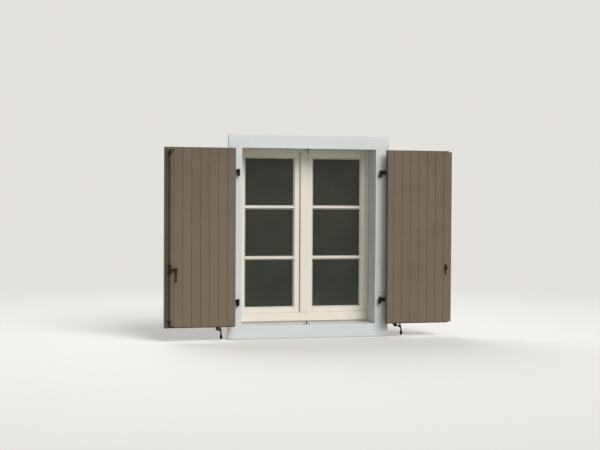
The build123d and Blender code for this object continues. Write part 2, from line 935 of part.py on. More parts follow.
def holdback_lever(side):
    x = leaf_x(side, holdback_in)
    nose_top = leaf_low - nose_play
    pear_y = pivot_y - pear_forward
    pear_high = leaf_low - pear_top
    pear_low = pear_high - pear_length
    with BuildPart() as lever:
        with BuildSketch(Plane.YZ.offset(x - blade_thickness / 2)) as blade:
            with Locations((pivot_y, pivot_z)):
                Circle(blade_radius)
            with BuildLine():
                Polyline(
                    (pivot_y - blade_radius, pivot_z),
                    (pivot_y + blade_radius, pivot_z),
                    (pivot_y + nose_back, nose_top),
                    (pivot_y - nose_front + nose_slope, nose_top),
                    (pivot_y - nose_front, nose_top - nose_slope / 2),
                    close=True,
                )
            make_face()
            with BuildLine():
                Line((pivot_y, pivot_z), (pear_y, pear_high))
            trace(line_width=2 * pear_neck_radius)
            with Locations((pivot_y, pivot_z)):
                Circle(pivot_radius + blade_play, mode=Mode.SUBTRACT)
        extrude(blade.sketch, amount=blade_thickness)
        forged_drop(
            (x, pear_y),
            (pear_low, pear_high),
            pear_radius,
            (pear_foot_radius, pear_foot),
            (pear_neck_radius, pear_length - pear_belly),
        )
    return lever.part


for side, hand in ((-1, "left"), (1, "right")):
    save(holdback_bracket(side), f"holdback_bracket_{hand}")
    save(holdback_lever(side), f"holdback_lever_{hand}")
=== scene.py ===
import json
import math

import bmesh
import bpy
from mathutils import Matrix, Vector


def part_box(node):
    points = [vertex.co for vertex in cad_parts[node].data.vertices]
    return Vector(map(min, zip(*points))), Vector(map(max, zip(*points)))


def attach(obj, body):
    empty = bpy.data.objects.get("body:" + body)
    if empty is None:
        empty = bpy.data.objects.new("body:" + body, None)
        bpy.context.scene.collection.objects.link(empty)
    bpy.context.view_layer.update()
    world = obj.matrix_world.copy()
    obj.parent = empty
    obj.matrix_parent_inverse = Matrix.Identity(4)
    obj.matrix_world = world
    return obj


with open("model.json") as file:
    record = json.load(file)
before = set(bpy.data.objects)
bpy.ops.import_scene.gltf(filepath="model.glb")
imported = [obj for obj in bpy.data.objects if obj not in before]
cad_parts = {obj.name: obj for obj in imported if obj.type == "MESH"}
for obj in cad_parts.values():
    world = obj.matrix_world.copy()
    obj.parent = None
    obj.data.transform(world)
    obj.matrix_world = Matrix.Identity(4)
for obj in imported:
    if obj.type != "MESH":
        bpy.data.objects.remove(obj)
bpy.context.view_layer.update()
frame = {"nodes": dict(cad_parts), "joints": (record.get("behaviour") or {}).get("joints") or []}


# Surround
# The lintel, sill and two jambs are run in cement render with a steel float, each with its
# return into the reveal, and painted with a matt white masonry paint.

SURROUND = ("surround_lintel", "surround_sill", "surround_jamb_left", "surround_jamb_right")
MASONRY_WHITE = (0.665, 0.695, 0.680, 1)
MASONRY_DULL = (0.585, 0.610, 0.590, 1)
MASONRY_ARRIS = 0.0012
SAND_SCALE = 850.0
TROWEL_SCALE = 9.0


def add(tree, kind, sockets=None, **settings):
    """One shader node. A socket takes a value, or a link if it is given another node's output."""
    made = tree.nodes.new("ShaderNode" + kind)
    for name, value in settings.items():
        setattr(made, name, value)
    for socket, value in (sockets or {}).items():
        if isinstance(value, bpy.types.NodeSocket):
            tree.links.new(value, made.inputs[socket])
        else:
            made.inputs[socket].default_value = value
    return made


def effect(name, inputs, outputs):
    """An empty node group for an effect that several finishes share."""
    tree = bpy.data.node_groups.new(name, "ShaderNodeTree")
    for label, (kind, value) in inputs.items():
        socket = tree.interface.new_socket(label, in_out="INPUT", socket_type="NodeSocket" + kind)
        socket.default_value = value
    for label, kind in outputs.items():
        tree.interface.new_socket(label, in_out="OUTPUT", socket_type="NodeSocket" + kind)
    return tree, tree.nodes.new("NodeGroupInput").outputs, tree.nodes.new("NodeGroupOutput").inputs


def lay(tree, group, **values):
    """A shared effect, laid on in a finish with values of its own."""
    return add(tree, "Group", values, node_tree=group)


def mixed(tree, factor, first, second):
    """One colour laid over another by a mask."""
    return add(tree, "Mix", {0: factor, 6: first, 7: second}, data_type="RGBA").outputs[2]


def ranged(tree, value, low, high, to_low=0.0, to_high=1.0):
    """A value stretched between two limits, and held there outside them."""
    sockets = {0: value, 1: low, 2: high, 3: to_low, 4: to_high}
    return add(tree, "MapRange", sockets, clamp=True).outputs[0]


def math_of(tree, operation, first, second=0.0):
    """The outcome of one sum on one or two values."""
    return add(tree, "Math", {0: first, 1: second}, operation=operation).outputs[0]


def noise(tree, place, scale, detail=3.0, roughness=0.5):
    """Fine random variation that swings about one half."""
    sockets = {"Vector": place, "Scale": scale, "Detail": detail, "Roughness": roughness}
    return add(tree, "TexNoise", sockets).outputs["Fac"]


def object_place(tree):
    """Places on the piece itself, so that its finish moves with it."""
    return add(tree, "TexCoord").outputs["Object"]


def relief(tree, height, strength, depth, **over):
    """Normals of a fine relief on a surface, laid over another relief where one is given."""
    sockets = {"Height": height, "Strength": strength, "Distance": depth, **over}
    return add(tree, "Bump", sockets).outputs[0]


# Mottling: soft clouds of a second tone
mottling, given, result = effect(
    "mottling",
    {
        "Color": ("Color", (0.5, 0.5, 0.5, 1)),
        "Tone": ("Color", (0.4, 0.4, 0.4, 1)),
        "Scale": ("Float", 6.0),
        "Amount": ("Float", 0.5),
    },
    {"Color": "Color", "Clouds": "Float"},
)
clouds = noise(mottling, object_place(mottling), given["Scale"], 4.0, 0.6)
clouds = ranged(mottling, clouds, 0.35, 0.68)
amount = math_of(mottling, "MULTIPLY", clouds, given["Amount"])
mottling.links.new(mixed(mottling, amount, given["Color"], given["Tone"]), result["Color"])
mottling.links.new(clouds, result["Clouds"])

# Settled dust: on faces that look up, in patches
settled_dust, given, result = effect(
    "settled dust",
    {
        "Color": ("Color", (0.5, 0.5, 0.5, 1)),
        "Dust": ("Color", (0.42, 0.38, 0.31, 1)),
        "Amount": ("Float", 0.5),
    },
    {"Color": "Color", "Dust": "Float"},
)
facing = add(settled_dust, "TexCoord").outputs["Normal"]
upward = add(settled_dust, "SeparateXYZ", {0: facing}).outputs["Z"]
lying = ranged(settled_dust, upward, 0.25, 0.95)
patches = noise(settled_dust, object_place(settled_dust), 45.0)
patches = ranged(settled_dust, patches, 0.3, 0.7, 0.35)
lying = math_of(settled_dust, "MULTIPLY", lying, patches)
lying = math_of(settled_dust, "MULTIPLY", lying, given["Amount"])
settled_dust.links.new(mixed(settled_dust, lying, given["Color"], given["Dust"]), result["Color"])
settled_dust.links.new(lying, result["Dust"])

# Grime and painted shade: dirt in inside corners, joints and seams, darkened by ambient occlusion
grime_and_shade, given, result = effect(
    "grime in corners",
    {
        "Color": ("Color", (0.5, 0.5, 0.5, 1)),
        "Dirt": ("Color", (0.06, 0.05, 0.04, 1)),
        "Reach": ("Float", 0.008),
        "Amount": ("Float", 0.5),
    },
    {"Color": "Color"},
)
# The mask follows ambient occlusion, so it paints shade into corners and seams as well as dirt
openness = add(grime_and_shade, "AmbientOcclusion", {"Distance": given["Reach"]}, samples=6).outputs["AO"]
corner = ranged(grime_and_shade, openness, 0.35, 0.95, 1.0, 0.0)
ragged = ranged(grime_and_shade, noise(grime_and_shade, object_place(grime_and_shade), 130.0), 0.25, 0.75, 0.4)
corner = math_of(grime_and_shade, "MULTIPLY", corner, ragged)
corner = math_of(grime_and_shade, "MULTIPLY", corner, given["Amount"])
grime_and_shade.links.new(mixed(grime_and_shade, corner, given["Color"], given["Dirt"]), result["Color"])

# Rain runs: narrow upright streaks of a thin stain
rain_runs, given, result = effect(
    "rain runs",
    {
        "Color": ("Color", (0.5, 0.5, 0.5, 1)),
        "Stain": ("Color", (0.2, 0.19, 0.16, 1)),
        "Amount": ("Float", 0.3),
    },
    {"Color": "Color"},
)
stretched = add(
    rain_runs, "Mapping", {"Vector": object_place(rain_runs), "Scale": (30.0, 30.0, 1.6)}
).outputs[0]
streaks = ranged(rain_runs, noise(rain_runs, stretched, 1.0, 5.0, 0.62), 0.5, 0.78)
streaks = math_of(rain_runs, "MULTIPLY", streaks, given["Amount"])
rain_runs.links.new(mixed(rain_runs, streaks, given["Color"], given["Stain"]), result["Color"])


def finish(name, **constants):
    """A new finish: its material, node tree and shader, with what is the same all over."""
    made = bpy.data.materials.new(name)
    made.use_nodes = True
    shader = made.node_tree.nodes["Principled BSDF"]
    for socket, value in constants.items():
        shader.inputs[socket.replace("_", " ")].default_value = value
    return made, made.node_tree, shader.inputs


def dress(material, *names):
    """Give solids of the frame their finish."""
    for name in names:
        frame["nodes"][name].material_slots[0].material = material


def soften(width, *names):
    """Round the arrises of made-up members a little, as sanding and paint leave them."""
    for name in names:
        node = frame["nodes"][name]
        weld = node.modifiers.new("weld", "WELD")
        weld.merge_threshold = 0.00002
        bevel = node.modifiers.new("arrises", "BEVEL")
        bevel.width = width
        bevel.segments = 2
        bevel.limit_method = "ANGLE"
        bevel.angle_limit = math.radians(25)
        node.modifiers.new("even normals", "WEIGHTED_NORMAL").keep_sharp = False


masonry_paint, tree, shader = finish("masonry_paint", Roughness=0.82, IOR=1.45)
place = object_place(tree)
tone = lay(tree, mottling, Color=MASONRY_WHITE, Tone=MASONRY_DULL, Scale=4.0, Amount=0.5)
runs = lay(tree, rain_runs, Color=tone.outputs["Color"], Stain=(0.40, 0.40, 0.36, 1), Amount=0.05)
# Dirt and painted shade in the inside corners of the surround
dirty_and_shaded = lay(
    tree, grime_and_shade, Color=runs.outputs["Color"], Dirt=(0.25, 0.24, 0.20, 1), Reach=0.02, Amount=0.35
)
dusted = lay(
    tree, settled_dust, Color=dirty_and_shaded.outputs["Color"], Dust=(0.50, 0.47, 0.40, 1), Amount=0.35
)
tree.links.new(dusted.outputs["Color"], shader["Base Color"])
sand = relief(tree, noise(tree, place, SAND_SCALE, 2.0, 0.6), 0.35, 0.0006)
trowel = relief(tree, noise(tree, place, TROWEL_SCALE, 2.0, 0.45), 0.5, 0.004, Normal=sand)
tree.links.new(trowel, shader["Normal"])
dress(masonry_paint, *SURROUND)
soften(MASONRY_ARRIS, *SURROUND)


# Window frame
# The fixed frame is planed softwood, rebated behind its lip for the sashes, painted cream with
# a brush along each member, and sealed to the reveal with a bead of grey acrylic.

CREAM = (0.765, 0.722, 0.648, 1)
CREAM_AGED = (0.680, 0.610, 0.510, 1)
UPRIGHT_STROKES = (420.0, 420.0, 9.0)
LEVEL_STROKES = (9.0, 420.0, 420.0)
FRAME_ARRIS = 0.0008

# Brush marks: fine lines along a member, as a colour change and as a height
brush_marks, given, result = effect(
    "brush marks",
    {
        "Color": ("Color", (0.5, 0.5, 0.5, 1)),
        "Tone": ("Color", (0.4, 0.4, 0.4, 1)),
        "Stretch": ("Vector", (600.0, 600.0, 12.0)),
        "Amount": ("Float", 0.3),
    },
    {"Color": "Color", "Height": "Float"},
)
lines = add(
    brush_marks, "Mapping", {"Vector": object_place(brush_marks), "Scale": given["Stretch"]}
).outputs[0]
hairs = noise(brush_marks, lines, 1.0, 4.0, 0.6)
amount = math_of(brush_marks, "MULTIPLY", ranged(brush_marks, hairs, 0.3, 0.7), given["Amount"])
brush_marks.links.new(mixed(brush_marks, amount, given["Color"], given["Tone"]), result["Color"])
brush_marks.links.new(hairs, result["Height"])

# Worn arrises: where hands and weather thin the paint on outside corners
worn_arrises, given, result = effect(
    "worn arrises",
    {
        "Color": ("Color", (0.5, 0.5, 0.5, 1)),
        "Under": ("Color", (0.3, 0.25, 0.2, 1)),
        "Width": ("Float", 0.0012),
        "Amount": ("Float", 0.4),
    },
    {"Color": "Color"},
)
rounded = add(worn_arrises, "Bevel", {"Radius": given["Width"]}, samples=4).outputs[0]
flat = add(worn_arrises, "NewGeometry").outputs["Normal"]
turned_by = add(worn_arrises, "VectorMath", {0: rounded, 1: flat}, operation="DOT_PRODUCT")
edge = ranged(worn_arrises, turned_by.outputs["Value"], 0.80, 0.985, 1.0, 0.0)
chips = ranged(worn_arrises, noise(worn_arrises, object_place(worn_arrises), 90.0), 0.45, 0.6)
edge = math_of(worn_arrises, "MULTIPLY", edge, chips)
edge = math_of(worn_arrises, "MULTIPLY", edge, given["Amount"])
worn_arrises.links.new(mixed(worn_arrises, edge, given["Color"], given["Under"]), result["Color"])


def cream_paint(name, strokes):
    """Satin cream paint, brushed along the member."""
    material, tree, shader = finish(name, IOR=1.48)
    marks = lay(tree, brush_marks, Color=CREAM, Tone=CREAM_AGED, Stretch=strokes, Amount=0.16)
    tone = lay(
        tree, mottling, Color=marks.outputs["Color"], Tone=CREAM_AGED, Scale=5.0, Amount=0.28
    )
    worn = lay(
        tree, worn_arrises, Color=tone.outputs["Color"], Under=(0.45, 0.36, 0.25, 1), Amount=0.35
    )
    # Dirt and painted shade in the corners and seams of the joinery
    dirty_and_shaded = lay(
        tree, grime_and_shade,
        Color=worn.outputs["Color"], Dirt=(0.13, 0.11, 0.08, 1), Reach=0.007, Amount=0.5,
    )
    dusted = lay(tree, settled_dust, Color=dirty_and_shaded.outputs["Color"], Amount=0.4)
    tree.links.new(dusted.outputs["Color"], shader["Base Color"])
    satin = ranged(tree, tone.outputs["Clouds"], 0.0, 1.0, 0.34, 0.46)
    dulling = math_of(tree, "MULTIPLY", dusted.outputs["Dust"], 0.4)
    tree.links.new(math_of(tree, "ADD", satin, dulling), shader["Roughness"])
    tree.links.new(relief(tree, marks.outputs["Height"], 0.18, 0.0004), shader["Normal"])
    return material


cream_upright = cream_paint("cream_paint_upright", UPRIGHT_STROKES)
cream_level = cream_paint("cream_paint_level", LEVEL_STROKES)
dress(cream_upright, "frame_jamb_left", "frame_jamb_right")
dress(cream_level, "frame_head", "frame_sill")
soften(FRAME_ARRIS, "frame_jamb_left", "frame_jamb_right", "frame_head", "frame_sill")


def corner_loop(mesh, section, low, high, front, closed=True):
    """A strip along the sides of an opening, mitred at its corners.

    The section is (inward, forward) points. An open strip leaves out the bottom side."""
    (x0, z0), (x1, z1) = low, high
    corners = [(x0, z0, 1, 1), (x0, z1, 1, -1), (x1, z1, -1, -1), (x1, z0, -1, 1)]
    if not closed:
        corners = [(x0, z0, 1, 0), *corners[1:3], (x1, z0, -1, 0)]
    rings = [
        [
            mesh.verts.new((x + across * inward, front - forward, z + up * inward))
            for inward, forward in section
        ]
        for x, z, across, up in corners
    ]
    pairs = list(zip(rings, rings[1:])) + ([(rings[-1], rings[0])] if closed else [])
    for first, second in pairs:
        for i in range(len(section)):
            j = (i + 1) % len(section)
            mesh.faces.new((first[i], first[j], second[j], second[i]))
    if not closed:
        mesh.faces.new(rings[0])
        mesh.faces.new(rings[-1])


def piece(name, mesh, material, body):
    """Turn a bmesh into a named piece that rides on a body and has the given finish."""
    bmesh.ops.recalc_face_normals(mesh, faces=mesh.faces)
    data = bpy.data.meshes.new(name)
    mesh.to_mesh(data)
    mesh.free()
    data.shade_smooth()
    data.set_sharp_from_angle(angle=math.radians(35))
    data.materials.append(material)
    made = bpy.data.objects.new(name, data)
    bpy.context.scene.collection.objects.link(made)
    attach(made, body)


def quarter_round(width, rise, steps):
    """Points of a quarter of an ellipse, from its foot at the width up to its top."""
    angles = [math.pi / 2 * i / steps for i in range(steps + 1)]
    return [(width * math.cos(a), rise * math.sin(a)) for a in angles]


# Sealant: a hollow bead tooled into the corner, its ends clear of the drip recess at the sill
SEALANT_SIZE = 0.0045
SEALANT_ABOVE_SILL = 0.014
half_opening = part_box("surround_jamb_right")[0].x
opening_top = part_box("surround_lintel")[0].z
frame_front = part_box("frame_head")[0].y
sealant_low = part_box("frame_sill")[0].z + SEALANT_ABOVE_SILL
hollow = quarter_round(SEALANT_SIZE, SEALANT_SIZE, 4)

acrylic, tree, shader = finish("acrylic_sealant", Roughness=0.55, IOR=1.46)
tone = lay(
    tree, mottling,
    Color=(0.50, 0.49, 0.45, 1), Tone=(0.34, 0.33, 0.30, 1), Scale=25.0, Amount=0.6,
)
tree.links.new(tone.outputs["Color"], shader["Base Color"])
wrinkles = relief(tree, noise(tree, object_place(tree), 180.0), 0.3, 0.0005)
tree.links.new(wrinkles, shader["Normal"])

mesh = bmesh.new()
corner_loop(
    mesh, [(0, 0), *((SEALANT_SIZE - y, SEALANT_SIZE - x) for x, y in hollow)],
    (-half_opening, sealant_low), (half_opening, opening_top), frame_front, closed=False,
)
piece("frame_sealant", mesh, acrylic, "window_frame")

# Weather seal: a soft strip pressed into the lip, which the shut sashes bear on
SEAL_WIDTH = 0.006
SEAL_PROUD = 0.0008
SEAL_CHAMFER = 0.001
SEAL_INSET = 0.003
SASH_BEHIND_LIP = 0.001
stile_low, stile_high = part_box("right_sash_hinge_stile")
lip_back = stile_low.y - SASH_BEHIND_LIP
seal, tree, shader = finish("weather_seal", Roughness=0.6, IOR=1.5)
tone = lay(
    tree, mottling,
    Color=(0.36, 0.32, 0.26, 1), Tone=(0.28, 0.24, 0.19, 1), Scale=30.0, Amount=0.6,
)
tree.links.new(tone.outputs["Color"], shader["Base Color"])
mesh = bmesh.new()
corner_loop(
    mesh,
    [
        (0, 0), (SEAL_CHAMFER, -SEAL_PROUD),
        (SEAL_WIDTH - SEAL_CHAMFER, -SEAL_PROUD), (SEAL_WIDTH, 0),
    ],
    (SEAL_INSET - stile_high.x, stile_low.z + SEAL_INSET),
    (stile_high.x - SEAL_INSET, stile_high.z - SEAL_INSET),
    lip_back,
)
piece("weather_seal", mesh, seal, "window_frame")


# Sashes
# Each sash is tenoned up from two stiles, two rails and two glazing bars, all with one bevelled
# line round the lights. The right sash carries the raised strip that covers the joint.

SIDES = {"left": -1, "right": 1}
SASH_ARRIS = 0.0006
STRIP_ARRIS = 0.0008
for hand in SIDES:
    upright = [f"{hand}_sash_hinge_stile", f"{hand}_sash_meeting_stile"]
    level = [f"{hand}_sash_top_rail", f"{hand}_sash_bottom_rail", f"{hand}_sash_bars"]
    dress(cream_upright, *upright)
    dress(cream_level, *level)
    soften(SASH_ARRIS, *upright, *level)
dress(cream_upright, "cover_strip")
soften(STRIP_ARRIS, "cover_strip")


# Glass
# Three panes of float glass to a sash, set in a groove. The photo shows them dark, so the glass
# is deep-toned with the painted shade of a dark room behind it, with a film of dust and dried rain.

GLASS_PAINTED_SHADE = (0.013, 0.022, 0.010, 1)
GLASS_MURKY = (0.034, 0.036, 0.022, 1)
DRIED_RAIN = (0.10, 0.10, 0.08, 1)
FILM_MOST = 0.25
window_glass, tree, shader = finish(
    "window_glass", IOR=1.52, Specular_IOR_Level=0.36, Metallic=0.0, Transmission_Weight=0.25
)
# Painted shade: the deep tone stands in for a dark room seen through the glass
tone = lay(tree, mottling, Color=GLASS_PAINTED_SHADE, Tone=GLASS_MURKY, Scale=3.5, Amount=0.9)
spots = noise(tree, object_place(tree), 260.0, 5.0, 0.75)
film = ranged(tree, spots, 0.60, 0.85, 0.0, FILM_MOST)
tree.links.new(mixed(tree, film, tone.outputs["Color"], DRIED_RAIN), shader["Base Color"])
tree.links.new(ranged(tree, film, 0.0, FILM_MOST, 0.03, 0.22), shader["Roughness"])
waves = relief(tree, noise(tree, object_place(tree), 5.0, 1.0), 0.06, 0.002)
tree.links.new(waves, shader["Normal"])
dress(window_glass, "left_sash_panes", "right_sash_panes")

# Outside, each pane is bedded in a fillet of cream sealant. On the room side it is held by four
# planed beads with a rounded nose, mitred at the corners.
BAR_WIDTH = 0.025
FILLET = 0.0022
BEAD = [(0, 0), (0.011, 0), (0.011, -0.006), (0.0095, -0.011), (0.006, -0.0145), (0, -0.016)]
for hand in SIDES:
    stiles = [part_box(f"{hand}_sash_{stile}_stile") for stile in ("hinge", "meeting")]
    left_stile, right_stile = sorted(stiles, key=lambda box: box[0].x)
    x0, x1 = left_stile[1].x, right_stile[0].x
    bars_low, bars_high = (corner.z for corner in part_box(f"{hand}_sash_bars"))
    light_rows = (
        (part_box(f"{hand}_sash_bottom_rail")[1].z, bars_low),
        (bars_low + BAR_WIDTH, bars_high - BAR_WIDTH),
        (bars_high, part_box(f"{hand}_sash_top_rail")[0].z),
    )
    pane_front, pane_back = (corner.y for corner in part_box(f"{hand}_sash_panes"))
    bedding = bmesh.new()
    beads = bmesh.new()
    for z0, z1 in light_rows:
        corner_loop(bedding, [(0, 0), (FILLET, 0), (0, FILLET)], (x0, z0), (x1, z1), pane_front)
        corner_loop(beads, BEAD, (x0, z0), (x1, z1), pane_back)
    piece(f"{hand}_glazing_sealant", bedding, cream_level, f"{hand}_sash")
    piece(f"{hand}_glazing_beads", beads, cream_level, f"{hand}_sash")


# Sash hinges and window handle
# Rolled steel butt hinges, screwed to the room side of the sash and frame, and a cast handle on
# its rose on the wide meeting stile. All are satin nickel plated.

NICKEL = (0.56, 0.54, 0.51, 1)
NICKEL_DULL = (0.40, 0.38, 0.35, 1)
NICKEL_LINES = (0.42, 0.40, 0.38, 1)
HINGE_ARRIS = 0.0004
ROSE_ARRIS = 0.0012
HANDLE_ARRIS = 0.0020
nickel, tree, shader = finish("satin_nickel", Metallic=1.0)
tone = lay(tree, mottling, Color=NICKEL, Tone=NICKEL_DULL, Scale=40.0, Amount=0.4)
marks = lay(
    tree, brush_marks, Color=tone.outputs["Color"], Tone=NICKEL_LINES,
    Stretch=(2400.0, 2400.0, 60.0), Amount=0.3,
)
tree.links.new(marks.outputs["Color"], shader["Base Color"])
tree.links.new(ranged(tree, marks.outputs["Height"], 0.3, 0.7, 0.24, 0.36), shader["Roughness"])
tree.links.new(relief(tree, marks.outputs["Height"], 0.1, 0.0001), shader["Normal"])
dress(nickel, "frame_hinge_pins", "left_sash_hinges", "right_sash_hinges")
dress(nickel, "window_handle_rose", "window_handle")
soften(ROSE_ARRIS, "window_handle_rose")
soften(HANDLE_ARRIS, "window_handle")
soften(HINGE_ARRIS, "frame_hinge_pins", "left_sash_hinges", "right_sash_hinges")


def turned(mesh, profile):
    """A closed form turned on the Z axis, from (radius, height) points that start and end on it."""
    sides = 20
    rings = []
    for radius, height in profile:
        count = sides if radius else 1
        angles = [2 * math.pi * i / count for i in range(count)]
        rings.append(
            [mesh.verts.new((radius * math.cos(a), radius * math.sin(a), height)) for a in angles]
        )
    for low, high in zip(rings, rings[1:]):
        for i in range(sides):
            j = (i + 1) % sides
            corners = [low[i % len(low)], low[j % len(low)]]
            corners += [high[j % len(high)], high[i % len(high)]]
            mesh.faces.new(list(dict.fromkeys(corners)))


def slotted_head(radius, rise):
    """A round screw head on the Z axis with a sawn slot, as a mesh that can be copied."""
    rim = 0.12 * radius
    half_slot = 0.13 * radius
    touching = 1e-6
    dome = [(out, rim + up) for out, up in quarter_round(radius, rise, 5)[:-1]]
    head = bmesh.new()
    turned(head, [(0, -rim), (radius, -rim), *dome, (0, rim + rise)])
    for x in (-half_slot, half_slot):
        parts = head.verts[:] + head.edges[:] + head.faces[:]
        bmesh.ops.bisect_plane(
            head, geom=parts, dist=touching, plane_co=(x, 0, 0), plane_no=(1, 0, 0)
        )
    bmesh.ops.recalc_face_normals(head, faces=head.faces)
    strip = [
        face for face in head.faces
        if abs(face.calc_center_median().x) < half_slot and face.normal.z > 0.1
    ]
    lowered = bmesh.ops.extrude_face_region(head, geom=strip)["geom"]
    for vertex in lowered:
        if isinstance(vertex, bmesh.types.BMVert):
            vertex.co.z = rim
    bmesh.ops.delete(head, geom=strip, context="FACES_ONLY")
    bmesh.ops.remove_doubles(head, verts=head.verts, dist=touching)
    data = bpy.data.meshes.new("slotted_head")
    head.to_mesh(data)
    head.free()
    return data


def upright_on(outward):
    """The turn that stands a form made on the Z axis square on a face."""
    return Vector(outward).to_track_quat("Z", "Y").to_matrix().to_4x4()


# The turn of the slot from one screw to the next, in radians
SLOT_TURN = 1.9


def screws(name, places, outward, material, body, slot, radius, rise):
    """Slotted round-head screws at the places, each slot left at its own angle."""
    head = slotted_head(radius, rise)
    mesh = bmesh.new()
    for number, place in enumerate(places):
        known = len(mesh.verts)
        mesh.from_mesh(head)
        mesh.verts.ensure_lookup_table()
        slot_angle = Matrix.Rotation(SLOT_TURN * number, 4, "Z")
        turn = Matrix.Translation(place) @ upright_on(outward) @ slot_angle
        bmesh.ops.transform(mesh, matrix=turn, verts=mesh.verts[known:])
    bpy.data.meshes.remove(head)
    piece(name, mesh, material, body)


# Three screws hold each hinge plate
PLATE_THICKNESS = 0.003
PLATE_FROM_PIN = 0.0165
HALF_HINGE = 0.040
PLATE_SCREW_STEPS = (0.008, 0.020, 0.032)
PLATE_SCREW = {"radius": 0.0034, "rise": 0.0008}
pivots = {joint["name"]: Vector(joint["pos_m"]) for joint in frame["joints"]}
pin_x = pivots["right_sash_swing"].x
plate_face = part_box("right_sash_hinge_stile")[1].y + PLATE_THICKNESS
hinges_low, hinges_high = (corner.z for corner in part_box("frame_hinge_pins"))
hinge_middles = (hinges_low + HALF_HINGE, hinges_high - HALF_HINGE)
for hand, side in SIDES.items():
    for half, body, x, turn in (
        ("frame", "window_frame", pin_x + PLATE_FROM_PIN, -1),
        ("sash", f"{hand}_sash", pin_x - PLATE_FROM_PIN, 1),
    ):
        screws(
            f"{hand}_{half}_plate_screws",
            [
                (side * x, plate_face, middle + turn * step)
                for middle in hinge_middles for step in PLATE_SCREW_STEPS
            ],
            (0, 1, 0), nickel, body, "steel", **PLATE_SCREW,
        )


# Pintles
# Two pintles a side, forged from mild steel: a turned pin on a round barrel, whose square shank
# is let into the jamb and mortared. They are painted black-brown like the other ironwork.

IRON = (0.009, 0.007, 0.005, 1)
IRON_BROWN = (0.017, 0.012, 0.008, 1)
IRON_RUBBED = (0.11, 0.082, 0.060, 1)
IRON_DUST = (0.11, 0.09, 0.066, 1)
PINTLE_ARRIS = 0.0006
iron_paint, tree, shader = finish("iron_paint", IOR=1.5, Specular_IOR_Level=0.15)
tone = lay(tree, mottling, Color=IRON, Tone=IRON_BROWN, Scale=30.0, Amount=0.7)
iron_tone = tone.name
worn = lay(
    tree, worn_arrises, Color=tone.outputs["Color"], Under=IRON_RUBBED, Width=0.0008, Amount=0.7
)
dusted = lay(tree, settled_dust, Color=worn.outputs["Color"], Dust=IRON_DUST, Amount=0.30)
tree.links.new(dusted.outputs["Color"], shader["Base Color"])
tree.links.new(ranged(tree, tone.outputs["Clouds"], 0.0, 1.0, 0.42, 0.70), shader["Roughness"])
hammered = relief(tree, noise(tree, object_place(tree), 95.0, 2.0), 0.7, 0.0012)
tree.links.new(hammered, shader["Normal"])
dress(iron_paint, "left_pintles", "right_pintles")
soften(PINTLE_ARRIS, "left_pintles", "right_pintles")


# Shutter boards
# Each leaf is two skins of solid larch boards, glued and screwed back to back with staggered
# joints. The boards were sprayed and brushed with a taupe stain before they were put together.

TAUPE = (0.125, 0.101, 0.071, 1)
TAUPE_LIT_AT_FOOT = (0.172, 0.128, 0.082, 1)
TAUPE_DARK = (0.116, 0.091, 0.062, 1)
TAUPE_LIGHT = (0.180, 0.148, 0.108, 1)
INNER_BOARDS = 8
OUTER_COVER = 0.063
OUTER_FULL_BOARDS = 7
BOARD_ARRIS = 0.0003
SCREW_ROWS = (0.045, 0.320, 0.640, 0.960, 1.224)
LEAF_SCREW = {"radius": 0.0035, "rise": 0.0006}

# Where the tones of each leaf's inner and outer boards start in the row of random values
LOTS = {"left": (40.0, 140.0), "right": (80.0, 180.0)}

# Board tone: one random value to each board, counted across the leaf from a joint
board_tone, given, result = effect(
    "board tone",
    {"Joint": ("Float", 0.0), "Cover": ("Float", OUTER_COVER), "Lot": ("Float", 0.0)},
    {"Value": "Float"},
)
across = add(board_tone, "SeparateXYZ", {0: object_place(board_tone)}).outputs["X"]
across = math_of(board_tone, "SUBTRACT", math_of(board_tone, "ABSOLUTE", across), given["Joint"])
board = math_of(board_tone, "FLOOR", math_of(board_tone, "DIVIDE", across, given["Cover"]))
board = math_of(board_tone, "ADD", board, given["Lot"])
lot = add(board_tone, "TexWhiteNoise", {"W": board}, noise_dimensions="1D").outputs["Value"]
board_tone.links.new(lot, result["Value"])


def reach(node):
    """How far a node's near and far edges are from the window's centre line."""
    return sorted(abs(corner.x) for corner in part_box(node))


leaf_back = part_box("right_outer_boards")[1].y
leaf_low, leaf_high = (corner.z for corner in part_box("right_outer_boards"))


def shutter_stain(name, joint, cover, lot):
    """Satin stain over softwood, each board a little different, in painted shade at the top that
    lightens towards the foot.
    """
    material, tree, shader = finish(name, IOR=1.47, Specular_IOR_Level=0.35)
    drawn = lay(tree, board_tone, Joint=joint, Cover=cover, Lot=lot)
    darker = ranged(tree, drawn.outputs["Value"], 0.0, 1.0, 0.0, 0.45)
    height = add(tree, "SeparateXYZ", {0: object_place(tree)}).outputs["Z"]
    # Painted light and shade: the leaf is darker at its top and lighter and warmer towards its foot
    lit_towards_foot = mixed(tree, ranged(tree, height, leaf_high, leaf_low), TAUPE, TAUPE_LIT_AT_FOOT)
    marks = lay(
        tree, brush_marks, Color=mixed(tree, darker, lit_towards_foot, TAUPE_DARK), Tone=TAUPE_DARK,
        Stretch=(260.0, 260.0, 5.0), Amount=0.45,
    )
    faded = lay(
        tree, mottling, Color=marks.outputs["Color"], Tone=TAUPE_LIGHT, Scale=3.2, Amount=0.35
    )
    worn = lay(
        tree, worn_arrises, Color=faded.outputs["Color"], Under=(0.26, 0.21, 0.16, 1), Amount=0.5
    )
    # Dirt and painted shade in the joints between the boards
    dirty_and_shaded = lay(
        tree, grime_and_shade,
        Color=worn.outputs["Color"], Dirt=(0.05, 0.04, 0.03, 1), Reach=0.003, Amount=0.1,
    )
    dusted = lay(
        tree, settled_dust, Color=dirty_and_shaded.outputs["Color"], Dust=(0.36, 0.33, 0.27, 1), Amount=0.45
    )
    tree.links.new(dusted.outputs["Color"], shader["Base Color"])
    satin = ranged(tree, faded.outputs["Clouds"], 0.0, 1.0, 0.46, 0.60)
    tree.links.new(satin, shader["Roughness"])
    tree.links.new(relief(tree, marks.outputs["Height"], 0.35, 0.0005), shader["Normal"])
    return material


